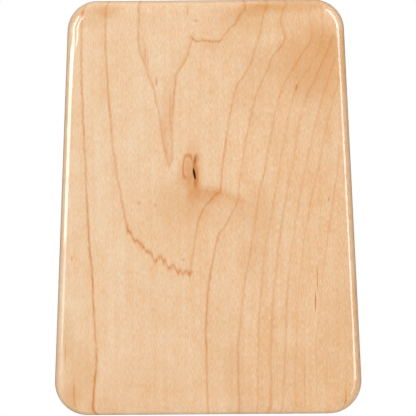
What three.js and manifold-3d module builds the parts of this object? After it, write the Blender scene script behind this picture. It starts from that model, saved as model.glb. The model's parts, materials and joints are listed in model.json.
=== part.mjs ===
// A solid-board kalimba with seventeen spring-steel tines, in millimetres.
// It lies on its back: +Z comes out of the playing face, +Y points to the narrow end, where the bridge is,
// and the origin is the centre of the back face.

import * as THREE from "three";
import { mergeVertices } from "three/addons/utils/BufferGeometryUtils.js";
import Module from "manifold-3d";

const wasm = await Module();
wasm.setup();

// Board: one tapered plank with round corners and rounded-over edges
const BOARD_LENGTH = 185;
const NARROW_END_WIDTH = 122.4; // across the two sides, carried on to the narrow end
const WIDE_END_WIDTH = 138.3; // across the two sides, carried on to the wide end
const BOARD_THICKNESS = 20;
const NARROW_CORNER_RADIUS = 13.5;
const WIDE_CORNER_RADIUS = 15;
const EDGE_RADIUS = 6;

// Bridge: a hardwood block with a land for the saddle rod, a valley and a round ridge behind it
const SADDLE_SETBACK = 38.5; // from the narrow end to the saddle rod
const CLAMP_SPAN = 15; // from the saddle rod to the rear ridge, with the pressure bar half way
const SADDLE_HEIGHT = 5.5; // middle of the saddle rod above the playing face
const SADDLE_LAND = 2.8; // half the width of the land that the rod lies in
const VALLEY_HEIGHT = 3;
const RIDGE_RADIUS = 2;
const BRIDGE_NOSE = 6; // from the saddle rod to the front of the block
const BRIDGE_HEEL = 6; // from the rear ridge to the back of the block
const BRIDGE_EDGE_HEIGHT = 1.6;
const BRIDGE_CORNER_RADIUS = 4;
const ROD_DIAMETER = 3;
const ROD_END_INSET = 1.5; // the rod stops short of each end of the block

// Pressure bar and its screws
const BAR_WIDTH = 5;
const BAR_HEIGHT = 4;
const BAR_END_INSET = 0.5; // the bar stops short of each end of the block
const BAR_EDGE = 0.4;
const SCREW_DIAMETER = 2.4;
const SCREW_LENGTH = 20; // under the head
const SCREW_POINT = 3;
const SCREW_HEAD_DIAMETER = 4.6;
const SCREW_HEAD_HEIGHT = 1.8;
const SCREW_HEAD_RIM = 0.7;
const PILOT_SPARE_DEPTH = 1; // the pilot hole goes on below the point
const INNER_TINE_COUNT = 5; // tines between the two inner screws

// Tines: spring-steel strips, cut to length for a major scale that starts at the longest
const TINE_COUNT = 17;
const LONGEST_FREE_LENGTH = 66; // from the saddle rod to the tip
const TINE_TAIL = 7; // behind the rear ridge
const TINE_THICKNESS = 1.2;
const TINE_SHANK_WIDTH = 3.2;
const TINE_TIP_WIDTH = 4.4;
const TIP_CORNER_RADIUS = 1.7;
const FLARE_LENGTH = 14; // from the shank's end to the full width of the tip
const TIP_LENGTH = 8; // of full width
const CURL_LENGTH = 14;
const CURL_RADIUS = 60;
const PRESS_DEPTH = 0.3; // how far the bar bows a tine between its two supports

// Motion of a plucked tine about the saddle rod
const PLUCK_ANGLE = THREE.MathUtils.degToRad(2); // tip pressed down
const SWING_ANGLE = THREE.MathUtils.degToRad(1.5); // tip swinging up

// Clearances
const RUNNING_CLEARANCE = 0.1; // what a moving tine keeps from what it nearly touches
const SADDLE_CLEARANCE = 0.15; // tine above rod
const ROD_SEAT_CLEARANCE = 0.15; // rod in its groove
const SCREW_CLEARANCE = 0.2; // screw in the bar, the block and the board
const SCREW_SIDE_CLEARANCE = 0.3; // screw beside a tine
const BRIDGE_END_MARGIN = 2.6; // beyond the outer screw heads

// Facets
const ARC_STEPS = 10;
const FINE_ARC_STEPS = 6;
const ROUND_SIDES = 16;
const EDGE_STEPS = 6;
const BOW_STEPS = 8;
const CURL_STEPS = 6;

// Worked out from the sizes above
const rodRadius = ROD_DIAMETER / 2;
const screwRadius = SCREW_DIAMETER / 2;
const holeRadius = screwRadius + SCREW_CLEARANCE;
const headRadius = SCREW_HEAD_DIAMETER / 2;
const tinePitch = TINE_SHANK_WIDTH + SCREW_DIAMETER + 2 * SCREW_SIDE_CLEARANCE;
const tineRowHalf = ((TINE_COUNT - 1) / 2) * tinePitch + TINE_SHANK_WIDTH / 2;
const outerScrewX = tineRowHalf + SCREW_SIDE_CLEARANCE + headRadius;
const bridgeWidth = 2 * (outerScrewX + BRIDGE_END_MARGIN);
const saddleY = BOARD_LENGTH / 2 - SADDLE_SETBACK;
const barBack = CLAMP_SPAN / 2;
const tineLevel = SADDLE_HEIGHT + rodRadius + SADDLE_CLEARANCE + TINE_THICKNESS / 2;
const ridgeClearance = CLAMP_SPAN * Math.sin(SWING_ANGLE) + RUNNING_CLEARANCE;
const ridgeHeight = tineLevel - TINE_THICKNESS / 2 - ridgeClearance;
const barClearance = barBack * Math.sin(PLUCK_ANGLE) + RUNNING_CLEARANCE;
const barBottom = tineLevel - PRESS_DEPTH + TINE_THICKNESS / 2 + barClearance;
const barTop = barBottom + BAR_HEIGHT;
const innerScrewX = (INNER_TINE_COUNT / 2) * tinePitch;
const screwXs = [-outerScrewX, -innerScrewX, innerScrewX, outerScrewX];

const maple = new THREE.MeshStandardMaterial({ color: 0xecc7a0, roughness: 0.25, metalness: 0 });
const darkWood = new THREE.MeshStandardMaterial({ color: 0x5a3622, roughness: 0.5, metalness: 0 });
const springSteel = new THREE.MeshStandardMaterial({ color: 0xc9cbcd, roughness: 0.28, metalness: 1 });
const platedSteel = new THREE.MeshStandardMaterial({ color: 0xd6d8da, roughness: 0.15, metalness: 1 });

// A closed geometry as a solid that can be cut and joined.
function toSolid(geometry) {
  const bare = geometry.clone();
  bare.deleteAttribute("normal");
  bare.deleteAttribute("uv");
  const merged = mergeVertices(bare);
  const vertProperties = merged.getAttribute("position").array;
  const triVerts = new Uint32Array(merged.index.array);
  return new wasm.Manifold(new wasm.Mesh({ numProp: 3, vertProperties, triVerts }));
}

function toGeometry(solid) {
  const { vertProperties, triVerts } = solid.getMesh();
  const geometry = new THREE.BufferGeometry();
  geometry.setAttribute("position", new THREE.BufferAttribute(vertProperties, 3));
  geometry.setIndex(new THREE.BufferAttribute(triVerts, 1));
  geometry.computeVertexNormals();
  return geometry;
}

function namedMesh(name, geometry, material) {
  const mesh = new THREE.Mesh(geometry, material);
  mesh.name = name;
  return mesh;
}

// A section drawn as (distance back, height), carried sideways along X and centred there.
function extrudeAcross(section, width, options) {
  const across = new THREE.Matrix4().makeBasis(
    new THREE.Vector3(0, 1, 0),
    new THREE.Vector3(0, 0, 1),
    new THREE.Vector3(1, 0, 0),
  );
  return new THREE.ExtrudeGeometry(section, { depth: width, bevelEnabled: false, ...options })
    .translate(0, 0, -width / 2)
    .applyMatrix4(across);
}

// A round hole down the Z axis, between two heights.
function uprightHole(x, y, bottom, top) {
  const drill = new THREE.CylinderGeometry(holeRadius, holeRadius, top - bottom, ROUND_SIDES);
  drill.rotateX(Math.PI / 2).translate(x, y, (top + bottom) / 2);
  return toSolid(drill);
}

function drillForScrews(solid, y, bottom, top) {
  return screwXs.reduce((left, x) => left.subtract(uprightHole(x, y, bottom, top)), solid);
}

// The board's outline: a corner arc at each end of each sloping side, tangent to the side and to the end.
function boardOutline() {
  const taper = Math.atan((WIDE_END_WIDTH - NARROW_END_WIDTH) / 2 / BOARD_LENGTH);
  const half = BOARD_LENGTH / 2;
  const wideX = WIDE_END_WIDTH / 2 - WIDE_CORNER_RADIUS * Math.tan(Math.PI / 4 + taper / 2);
  const narrowX = NARROW_END_WIDTH / 2 - NARROW_CORNER_RADIUS * Math.tan(Math.PI / 4 - taper / 2);
  const wideY = -half + WIDE_CORNER_RADIUS;
  const narrowY = half - NARROW_CORNER_RADIUS;
  const outline = new THREE.Shape();
  outline.absarc(wideX, wideY, WIDE_CORNER_RADIUS, -Math.PI / 2, taper, false);
  outline.absarc(narrowX, narrowY, NARROW_CORNER_RADIUS, taper, Math.PI / 2, false);
  outline.absarc(-narrowX, narrowY, NARROW_CORNER_RADIUS, Math.PI / 2, Math.PI - taper, false);
  outline.absarc(-wideX, wideY, WIDE_CORNER_RADIUS, Math.PI - taper, 1.5 * Math.PI, false);
  return outline;
}

function makeBoard() {
  const plank = new THREE.ExtrudeGeometry(boardOutline(), {
    depth: BOARD_THICKNESS - 2 * EDGE_RADIUS,
    curveSegments: ARC_STEPS,
    bevelThickness: EDGE_RADIUS,
    bevelSize: EDGE_RADIUS,
    bevelOffset: -EDGE_RADIUS,
    bevelSegments: EDGE_STEPS,
  }).translate(0, 0, EDGE_RADIUS);
  const pilotBottom = BOARD_THICKNESS + barTop - SCREW_LENGTH - PILOT_SPARE_DEPTH;
  const drilled = drillForScrews(toSolid(plank), saddleY + barBack, pilotBottom, BOARD_THICKNESS + BAR_HEIGHT);
  return namedMesh("body_board", toGeometry(drilled), maple);
}

// The block's section runs along its foot, over the rear ridge, through the valley and over the rod's groove.
function bridgeSection() {
  const grooveRadius = rodRadius + ROD_SEAT_CLEARANCE;
  const heel = CLAMP_SPAN + BRIDGE_HEEL;
  const ridgeBack = CLAMP_SPAN + RIDGE_RADIUS;
  const ridgeMiddle = ridgeHeight - RIDGE_RADIUS;
  const section = new THREE.Shape();
  section.moveTo(-BRIDGE_NOSE, 0);
  section.lineTo(heel, 0);
  section.lineTo(heel, BRIDGE_EDGE_HEIGHT);
  section.quadraticCurveTo(ridgeBack, BRIDGE_EDGE_HEIGHT, ridgeBack, ridgeMiddle);
  section.absarc(CLAMP_SPAN, ridgeMiddle, RIDGE_RADIUS, 0, Math.PI, false);
  section.lineTo(CLAMP_SPAN - RIDGE_RADIUS, VALLEY_HEIGHT);
  section.lineTo(SADDLE_LAND, VALLEY_HEIGHT);
  section.lineTo(SADDLE_LAND, SADDLE_HEIGHT);
  section.absarc(0, SADDLE_HEIGHT, grooveRadius, 0, Math.PI, true);
  section.lineTo(-SADDLE_LAND, SADDLE_HEIGHT);
  section.quadraticCurveTo(-SADDLE_LAND, BRIDGE_EDGE_HEIGHT, -BRIDGE_NOSE, BRIDGE_EDGE_HEIGHT);
  section.closePath();
  return section;
}

// A rectangle with round corners, from front to back and centred across.
function roundedPlan(width, front, back, radius) {
  const side = width / 2;
  const plan = new THREE.Shape();
  plan.absarc(side - radius, front + radius, radius, -Math.PI / 2, 0, false);
  plan.absarc(side - radius, back - radius, radius, 0, Math.PI / 2, false);
  plan.absarc(radius - side, back - radius, radius, Math.PI / 2, Math.PI, false);
  plan.absarc(radius - side, front + radius, radius, Math.PI, 1.5 * Math.PI, false);
  return plan;
}

function makeBridgeBlock() {
  const moulding = extrudeAcross(bridgeSection(), bridgeWidth, { curveSegments: FINE_ARC_STEPS });
  const plan = roundedPlan(bridgeWidth, -BRIDGE_NOSE, CLAMP_SPAN + BRIDGE_HEEL, BRIDGE_CORNER_RADIUS);
  const blank = new THREE.ExtrudeGeometry(plan, {
    depth: tineLevel,
    bevelEnabled: false,
    curveSegments: FINE_ARC_STEPS,
  });
  const block = toSolid(moulding).intersect(toSolid(blank));
  const drilled = drillForScrews(block, barBack, -BAR_HEIGHT, tineLevel);
  return namedMesh("bridge_block", toGeometry(drilled), darkWood);
}

function makeSaddleRod() {
  const length = bridgeWidth - 2 * ROD_END_INSET;
  const rod = new THREE.CylinderGeometry(rodRadius, rodRadius, length, ROUND_SIDES);
  rod.rotateZ(Math.PI / 2).translate(0, 0, SADDLE_HEIGHT);
  return namedMesh("saddle_rod", rod, platedSteel);
}

// The bar is flat on top for the screw heads and round below, where it bears on the tines.
function makePressureBar() {
  const half = BAR_WIDTH / 2;
  const section = new THREE.Shape();
  section.absarc(0, barBottom + half, half, Math.PI, 2 * Math.PI, false);
  section.lineTo(half, barTop);
  section.lineTo(-half, barTop);
  section.closePath();
  const length = bridgeWidth - 2 * BAR_END_INSET;
  const bar = extrudeAcross(section, length - 2 * BAR_EDGE, {
    curveSegments: ARC_STEPS,
    bevelEnabled: true,
    bevelThickness: BAR_EDGE,
    bevelSize: BAR_EDGE,
    bevelOffset: -BAR_EDGE,
    bevelSegments: 1,
  }).translate(0, barBack, 0);
  const drilled = drillForScrews(toSolid(bar), barBack, barBottom - BAR_HEIGHT, barTop + BAR_HEIGHT);
  return namedMesh("pressure_bar", toGeometry(drilled), platedSteel);
}

// A pan-head screw, turned about its own axis, with its head's seat at height zero.
function screwGeometry() {
  const profile = new THREE.Path();
  profile.moveTo(0, -SCREW_LENGTH);
  profile.lineTo(screwRadius, SCREW_POINT - SCREW_LENGTH);
  profile.lineTo(screwRadius, 0);
  profile.lineTo(headRadius, 0);
  profile.lineTo(headRadius, SCREW_HEAD_RIM);
  profile.quadraticCurveTo(headRadius, SCREW_HEAD_HEIGHT, 0, SCREW_HEAD_HEIGHT);
  return new THREE.LatheGeometry(profile.getPoints(FINE_ARC_STEPS), ROUND_SIDES).rotateX(Math.PI / 2);
}

function makeClampScrews() {
  return screwXs.map((x, index) => {
    const screw = namedMesh(`clamp_screw_${index + 1}`, screwGeometry(), platedSteel);
    screw.position.set(x, barBack, barTop);
    return screw;
  });
}

// Height of a tine's middle line at a distance behind the saddle rod, negative towards the tip.
// Between its supports it is a beam bowed down in the middle, and beyond them it runs on straight.
function tineHeight(back, freeLength) {
  const share = Math.min(back, CLAMP_SPAN - back) / CLAMP_SPAN;
  const bow = share > 0 ? 3 * share - 4 * share ** 3 : 3 * share;
  const curl = Math.max(0, CURL_LENGTH - freeLength - back);
  return tineLevel - PRESS_DEPTH * bow + curl ** 2 / (2 * CURL_RADIUS);
}

// Where the side view of a tine needs a point, from its tail to just past its tip.
function tineStations(freeLength) {
  const stations = [CLAMP_SPAN + TINE_TAIL];
  for (let step = 0; step <= BOW_STEPS; step += 1) stations.push(CLAMP_SPAN * (1 - step / BOW_STEPS));
  for (let step = 0; step <= CURL_STEPS; step += 1) {
    stations.push(CURL_LENGTH * (1 - step / CURL_STEPS) - freeLength);
  }
  return [...stations, -freeLength - TINE_THICKNESS];
}

// The side view: half the thickness to each side of the middle line.
function tineSideView(freeLength) {
  const offset = (back, distance) => {
    const reach = TINE_THICKNESS / 10;
    const rise = tineHeight(back + reach, freeLength) - tineHeight(back - reach, freeLength);
    const normal = new THREE.Vector2(-rise, 2 * reach).setLength(distance);
    return normal.add(new THREE.Vector2(back, tineHeight(back, freeLength)));
  };
  const stations = tineStations(freeLength);
  const under = stations.map((back) => offset(back, -TINE_THICKNESS / 2));
  const over = stations.map((back) => offset(back, TINE_THICKNESS / 2));
  return new THREE.Shape([...over, ...under.reverse()]);
}

// The plan: a parallel shank that flares to the playing end, whose corners are round.
function tinePlan(freeLength) {
  const shank = TINE_SHANK_WIDTH / 2;
  const tip = TINE_TIP_WIDTH / 2;
  const radius = TIP_CORNER_RADIUS;
  const tail = CLAMP_SPAN + TINE_TAIL;
  const flared = TIP_LENGTH - freeLength;
  const unflared = flared + FLARE_LENGTH;
  const middle = flared + FLARE_LENGTH / 2;
  const plan = new THREE.Shape();
  plan.moveTo(-shank, tail);
  plan.lineTo(-shank, unflared);
  plan.bezierCurveTo(-shank, middle, -tip, middle, -tip, flared);
  plan.absarc(radius - tip, radius - freeLength, radius, Math.PI, 1.5 * Math.PI, false);
  plan.absarc(tip - radius, radius - freeLength, radius, 1.5 * Math.PI, 2 * Math.PI, false);
  plan.lineTo(tip, flared);
  plan.bezierCurveTo(tip, middle, shank, middle, shank, unflared);
  plan.lineTo(shank, tail);
  plan.closePath();
  return plan;
}

function tineGeometry(freeLength) {
  const strip = extrudeAcross(tineSideView(freeLength), 2 * TINE_TIP_WIDTH);
  const blank = new THREE.ExtrudeGeometry(tinePlan(freeLength), {
    depth: tineHeight(-freeLength, freeLength) + TINE_THICKNESS,
    bevelEnabled: false,
    curveSegments: FINE_ARC_STEPS,
  });
  return toGeometry(toSolid(strip).intersect(toSolid(blank)));
}

// The scale climbs from the middle, one note to the left and the next to the right.
// A strip's pitch goes with one over its free length squared, so an octave is a length ratio of root two.
function makeTines() {
  const majorScale = [0, 2, 4, 5, 7, 9, 11];
  const noteNames = ["c", "d", "e", "f", "g", "a", "b"];
  return Array.from({ length: TINE_COUNT }, (_, note) => {
    const octave = Math.floor(note / majorScale.length);
    const degree = note % majorScale.length;
    const semitones = 12 * octave + majorScale[degree];
    const freeLength = LONGEST_FREE_LENGTH * 2 ** (-semitones / 24);
    const place = note % 2 === 1 ? -(note + 1) / 2 : note / 2;
    const tine = namedMesh(`tine_${noteNames[degree]}${4 + octave}`, tineGeometry(freeLength), springSteel);
    tine.position.x = place * tinePitch;
    return tine;
  });
}

const bridge = new THREE.Group();
bridge.position.set(0, saddleY, BOARD_THICKNESS);
bridge.add(makeBridgeBlock(), makeSaddleRod(), makePressureBar(), ...makeClampScrews(), ...makeTines());

const kalimba = new THREE.Group();
kalimba.add(makeBoard(), bridge);

export default kalimba;
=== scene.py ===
"""Dresses a solid-board kalimba in lacquered maple, dark bridge wood and bright steel."""

import json
import math

import bmesh
import bpy
from bpy.props import FloatProperty, FloatVectorProperty, PointerProperty
from mathutils import Color, Matrix, Vector

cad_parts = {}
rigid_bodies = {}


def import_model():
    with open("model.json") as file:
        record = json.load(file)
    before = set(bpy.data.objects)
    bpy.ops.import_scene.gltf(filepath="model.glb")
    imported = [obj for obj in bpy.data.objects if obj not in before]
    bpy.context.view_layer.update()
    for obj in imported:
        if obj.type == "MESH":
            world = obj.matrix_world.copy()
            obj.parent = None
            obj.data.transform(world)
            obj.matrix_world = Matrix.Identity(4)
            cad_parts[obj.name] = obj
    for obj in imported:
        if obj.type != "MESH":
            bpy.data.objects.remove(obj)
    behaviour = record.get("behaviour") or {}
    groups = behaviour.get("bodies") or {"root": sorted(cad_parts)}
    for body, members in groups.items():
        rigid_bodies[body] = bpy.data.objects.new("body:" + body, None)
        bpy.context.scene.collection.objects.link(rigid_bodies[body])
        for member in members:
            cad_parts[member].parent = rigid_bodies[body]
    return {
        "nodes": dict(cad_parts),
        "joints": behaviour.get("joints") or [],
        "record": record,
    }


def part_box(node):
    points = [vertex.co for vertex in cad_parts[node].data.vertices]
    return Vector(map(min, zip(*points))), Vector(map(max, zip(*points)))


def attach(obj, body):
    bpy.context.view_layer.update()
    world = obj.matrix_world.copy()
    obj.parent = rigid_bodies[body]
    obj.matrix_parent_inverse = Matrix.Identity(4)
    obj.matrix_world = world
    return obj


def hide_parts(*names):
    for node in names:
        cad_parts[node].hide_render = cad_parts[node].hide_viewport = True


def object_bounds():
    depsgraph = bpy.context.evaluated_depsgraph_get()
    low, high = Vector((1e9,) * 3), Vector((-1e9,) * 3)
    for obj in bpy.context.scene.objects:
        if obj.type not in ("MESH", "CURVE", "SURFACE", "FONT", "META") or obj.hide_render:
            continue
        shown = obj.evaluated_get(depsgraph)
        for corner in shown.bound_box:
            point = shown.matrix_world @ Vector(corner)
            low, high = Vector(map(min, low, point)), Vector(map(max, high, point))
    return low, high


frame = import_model()

bl_info = {
    "name": "Solid-board kalimba",
    "version": (1, 0, 0),
    "blender": (4, 5, 0),
    "location": "View3D > Sidebar > Kalimba",
    "description": "Builds the board, bridge, clamp and tines of a kalimba, and a studio round it",
    "category": "Object",
}

MM = 0.001
CAD_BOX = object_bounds()

# Bodies and places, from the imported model
BOARD_BODY = frame["joints"][0]["parent"]
SADDLE_Y = frame["joints"][0]["pos_m"][1]
TINE_NODES = {
    body: nodes[0]
    for body, nodes in frame["record"]["behaviour"]["bodies"].items()
    if body != BOARD_BODY
}
SCREW_NODES = sorted(node for node in frame["nodes"] if node.startswith("clamp_screw"))

# The photograph's frame, and how the board lies in it
PHOTO_PIXELS = 416
BOARD_PIXELS = 413.7  # from end to end
BOARD_CENTRE = (207.0, 207.3)  # in pixels from the left and from the top
BOARD_ROLL = math.radians(0.4)

# Growth rings that run along the board, as the back is seen with the narrow end up.
# Each has the side of its soft tail, 1 for right and -1 for left, the half width of its line, its strength,
# and points of (along the board, across it, darkness).
# Lengths are in millimetres, and places are from the middle of the back.
LONG_RINGS = {
    "outer left": (-1, 0.5, 0.85, [
        (88.5, -54.5, 0.5), (75, -55, 0.55), (57, -55.4, 0.6), (39.5, -54.5, 0.65), (17, -53.5, 0.5),
        (0, -53, 0.6), (-10, -52.5, 0.7), (-25, -51.4, 0.8), (-43, -50.4, 0.7), (-55.5, -50, 0.6),
        (-65, -49.3, 0.65), (-77, -50.2, 0.9), (-90, -51.5, 1.2),
    ]),
    "arch left": (-1, 0.5, 0.75, [
        (91, -44, 0.65), (75, -44.5, 0.55), (63.5, -44, 0.6), (50, -43.3, 0.75), (35.5, -42.3, 0.55),
        (21.5, -40.7, 0.45), (8, -38.5, 0.5), (0, -37, 0.65), (-5, -36, 0.6), (-10, -35, 0.7),
    ]),
    "tongue left": (1, 0.5, 0.55, [
        (91.5, -30.3, 0.65), (84.5, -29.8, 0.6), (75, -29.7, 0.65), (69.5, -29.3, 0.65), (64, -27.6, 0.6),
        (57.5, -25.7, 0.65), (53.5, -24, 0.55), (46, -22, 0.6), (39, -20.7, 0.6), (30, -19.5, 0.55),
        (24, -18, 0.65), (21, -17.7, 0.6), (18.5, -16.8, 0.45),
    ]),
    "tongue right": (-1, 0.5, 0.6, [
        (19, -16.1, 0.5), (21.5, -15.2, 0.7), (25, -15.1, 0.55), (33.5, -15.2, 0.45), (41, -14.7, 0.6),
        (48, -14.2, 0.8),
        (54, -13.3, 0.7), (58.5, -13, 0.6), (61.5, -11.5, 0.6), (65.5, -9, 0.65), (69, -7.5, 0.6),
        (73, -6.5, 0.55), (76, -5.3, 0.5),
    ]),
    "tongue top, end": (-1, 0.5, 0.65, [
        (82.5, 13.8, 0.4), (84.5, 14.9, 0.6), (87, 16.7, 0.65), (88.5, 17.5, 0.75), (92, 17.7, 0.85),
    ]),
    "arch right, upper": (1, 0.5, 0.6, [
        (90.5, 27.5, 0.6), (84, 25.4, 0.7), (76, 23.7, 0.45), (70, 21.7, 0.5), (64.5, 20.2, 0.65),
        (60, 18, 0.55), (57, 15.9, 0.6), (54, 14, 0.6), (48.5, 12, 0.6), (42.5, 11, 0.7),
        (35.5, 9.5, 0.55), (26.5, 8, 0.95), (18.5, 7, 0.7), (12, 6.5, 0.85), (8, 6.4, 0.85),
    ]),
    "arch right, lower": (1, 0.5, 0.45, [
        (7, 6, 0.6), (5.4, 3.7, 0.85), (2.8, 1, 0.9), (0.3, -1, 1.1), (-2, -2.2, 1.15), (-5, -3.5, 0.95),
        (-11.5, -5, 0.85), (-18.5, -6, 0.8), (-24.5, -7.2, 0.6), (-29, -8.4, 0.65),
    ]),
    "second": (1, 0.5, 0.65, [
        (91, 36.3, 0.6), (86.5, 34.2, 0.5), (83, 33.2, 0.45), (78.5, 34.2, 0.55), (74, 34.8, 0.8),
        (71.5, 33.2, 0.75), (68.5, 31.5, 0.7), (66.5, 29.7, 0.5), (62, 27.7, 0.5), (57.5, 25.4, 0.5),
        (49.5, 22, 0.5), (34.5, 18.3, 0.45), (16.5, 15.2, 0.35), (8.5, 14.2, 0.45), (3, 13.7, 0.45),
        (-3.5, 10.5, 0.7), (-8, 8, 0.6), (-12, 5.2, 0.75), (-16, 3.8, 0.75), (-23, 2.3, 0.7),
        (-30, 1.2, 0.85), (-36.5, 0.2, 0.85), (-45, -0.5, 0.85), (-56.5, -0.8, 0.9), (-70, -0.8, 0.7),
        (-80.5, -0.5, 0.7), (-90.5, 0, 0.5),
    ]),
    "third": (1, 0.5, 0.5, [
        (89, 46.8, 0.4), (84, 45.8, 0.5), (78.5, 47.2, 0.5), (73, 46.2, 0.85), (70, 44.2, 0.8),
        (66, 41.7, 0.9), (61.5, 39, 0.65), (54.5, 34.5, 0.55), (43, 30.8, 0.6), (28, 28, 0.6),
        (9.5, 24, 0.7), (-12.5, 20.3, 0.45), (-22, 18.7, 0.75), (-30, 17, 0.65), (-39, 15.5, 0.55),
        (-48, 14.7, 0.6), (-59.5, 13.5, 0.85), (-70, 13, 0.95), (-79, 13.5, 0.85), (-90.5, 14, 1.1),
    ]),
    "fourth": (1, 0.5, 0.45, [
        (86.5, 51.3, 0.55), (78.5, 51.7, 0.6), (71.5, 50.7, 0.5), (66, 48.2, 0.5), (61, 45.4, 0.65),
        (57, 42.7, 0.65), (53, 40, 0.75), (49.5, 38.7, 0.7), (37, 35.8, 0.4), (21, 33, 0.5), (5, 30, 0.45),
        (-10, 27.2, 0.6), (-21.5, 25, 0.35), (-28.5, 24.6, 0.6), (-50.5, 22.7, 0.7), (-70, 22.2, 0.7),
        (-90.5, 22, 0.5),
    ]),
    "fifth": (1, 0.7, 0.62, [
        (75, 56.3, 0.75), (68.5, 53.8, 0.55), (62.5, 50.8, 0.65), (56.5, 48.5, 0.6), (48.5, 44.2, 0.45),
        (35, 40.8, 0.3), (18, 37.8, 0.3), (3, 34.7, 0.5), (-11.5, 32.5, 0.55), (-33, 29.8, 0.45),
        (-52.5, 28.5, 0.6), (-66, 27.6, 0.4), (-90.5, 27.7, 0.7),
    ]),
    "sixth": (1, 0.55, 0.7, [
        (64.5, 57, 0.5), (52.5, 52.7, 0.4), (36.5, 48.2, 0.4), (21, 44.7, 0.35), (6.5, 41.5, 0.4),
        (-3.5, 39.7, 0.3), (-21.5, 37, 0.2), (-43.5, 35, 0.6), (-66, 34, 0.35), (-88, 33.2, 0.35),
    ]),
    "seventh": (1, 0.45, 0.5, [
        (58, 59, 0.4), (45.5, 55.5, 0.5), (31.5, 52.5, 0.45), (13.5, 48.6, 0.7), (-8, 44.2, 0.35),
        (-28.5, 41.2, 0.3), (-46, 40, 0.25), (-79.5, 38.5, 0.35), (-92, 38.5, 0.5),
    ]),
    "eighth": (1, 0.4, 0.75, [
        (25, 58.8, 0.3), (10, 57, 0.4), (-3, 54.8, 0.45), (-21.5, 52.2, 0.3), (-46, 49.3, 0.15),
        (-59.5, 48, 0.4), (-68, 47.8, 0.35),
    ]),
}

# Stretches where a ring crosses the board, likewise, with points of (across the board, along it, darkness).
# A tail on side 1 goes towards the narrow end. The last one is the brown slope below the knot.
TONGUE_TOP = (-1, 0.55, 0.6, [
    (-6.5, 76, 0.6), (-4.5, 73.5, 1), (-1, 74, 0.9), (2.5, 73.5, 1), (6, 73.5, 1), (7, 75.2, 0.8),
    (9, 77.6, 0.75), (11.5, 80, 0.8), (13.3, 81.6, 0.8), (14.5, 83.6, 0.7),
])
ARCH_FOOT = (1, 1.15, 0.6, [
    (-35, -10.5, 0.9), (-33, -13.8, 1.1), (-30.5, -15.5, 1), (-27.5, -18.5, 0.9), (-24.7, -20.5, 0.9),
    (-22.4, -25, 0.9), (-21.4, -20.5, 0.9), (-19.3, -25, 1), (-17, -26, 0.9), (-14.7, -27.2, 0.9),
    (-12.8, -29, 1), (-11, -28.4, 0.9), (-8, -29.8, 0.9),
])
KNOT_LEE = (-1, 2, 0.5, [
    (-9, 5, 0.1), (-6, 8, 0.25), (-3.5, 8.2, 0.25), (0, 7.6, 0.28), (4, 7.2, 0.45), (6.5, 6.8, 0.38),
    (9.5, 6, 0.35), (15.5, 3, 0.3),
])

# Short dark streaks along the fibres: (along, across, half length, half width, darkness)
STREAKS = [
    (-32, 48.6, 7, 0.35, 0.9), (-42, 47.8, 6.5, 0.45, 0.9), (-84, 61, 4.5, 0.3, 1),
    (-85.8, 61.3, 1.2, 0.6, 0.8), (-62.5, 63, 5, 0.3, 0.5), (3, 54, 1.2, 0.35, 0.9),
    (35.5, 59.5, 2, 0.3, 0.5), (-22.5, -60, 1.6, 0.35, 0.7), (-64, -63.3, 6, 0.4, 0.6),
    (-82, -59.5, 9, 0.7, 0.4), (-23, -10.6, 0.9, 1.1, 0.4), (-33, 11, 1.5, 0.35, 0.4),
    (2, -30.3, 1, 1.4, 0.4), (7, -23, 2, 0.4, 0.35), (88, -8.1, 5, 0.5, 0.45), (67.5, -26.8, 5, 0.5, 0.3),
    (65, -25.7, 5, 0.4, 0.35), (67, -27, 8, 1.8, 0.1), (56, -22, 2.5, 0.4, 0.8),
    (82.7, -4.3, 0.9, 1.3, 0.4), (42, -16.1, 9, 0.45, 0.35), (1.2, -22.8, 1.2, 1, 0.3),
    (87.3, -55, 1.5, 1.3, 0.5), (-78, 42.8, 15, 0.5, 0.25), (-78, 48.1, 17, 0.5, 0.22),
    (-76, 52.5, 14, 0.5, 0.16), (53, 40, 1.8, 0.5, 0.7), (40, -17.6, 24, 3, 0.14), (5.5, 0.5, 5.5, 7, 0.28),
]

# Broad changes of tone: (along, across, half length, half width, how much browner; negative is paler)
TONE_PATCHES = [
    (64, 46, 22, 20, 0.45), (-1, -14, 20, 18, 0.2), (3, -9, 12, 14, 0.2), (80, 30, 9, 6, -0.1),
    (81, 40, 8, 6, -0.1), (22, 11, 16, 8, -0.1), (36, 15, 10, 6, -0.14), (-75, -57, 22, 10, 0.3),
    (-80, -28, 16, 30, 0.2), (20, -45, 60, 18, 0.03), (90, 38, 5, 22, 0.5), (-60, 60, 40, 15, 0.22),
    (-50, -20, 30, 24, 0.08), (55, 22, 22, 12, 0.2), (-2, 24, 14, 10, 0.15), (-68, 27, 30, 11, 0.1),
    (-76, 13, 22, 8, 0.2), (-76, 39, 20, 12, 0.2), (78, 10, 18, 16, 0.12), (-1, 8, 13, 15, 0.12),
    (10, 13, 8, 6, -0.1), (73, 57, 10, 13, 0.28), (86, 10, 7, 12, 0.12), (88.5, 22, 5, 9, 0.35),
    (88, -43, 5, 9, 0.3), (-62, 6, 28, 14, 0.16), (-13, 21, 24, 13, 0.14), (48, 52, 26, 14, 0.12),
    (-55, -62, 14, 5, 0.3), (-84, -62, 8, 6, 0.3), (-86, 18, 10, 10, 0.12), (-88, -46, 6, 9, 0.2),
    (86, -50, 9, 14, 0.26), (84, 26, 10, 22, 0.26), (84, 57, 10, 10, -0.22), (64, 30, 12, 18, 0.1),
    (21, 22, 13, 10, -0.1), (-24, 21, 13, 10, 0.1),
]

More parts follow.
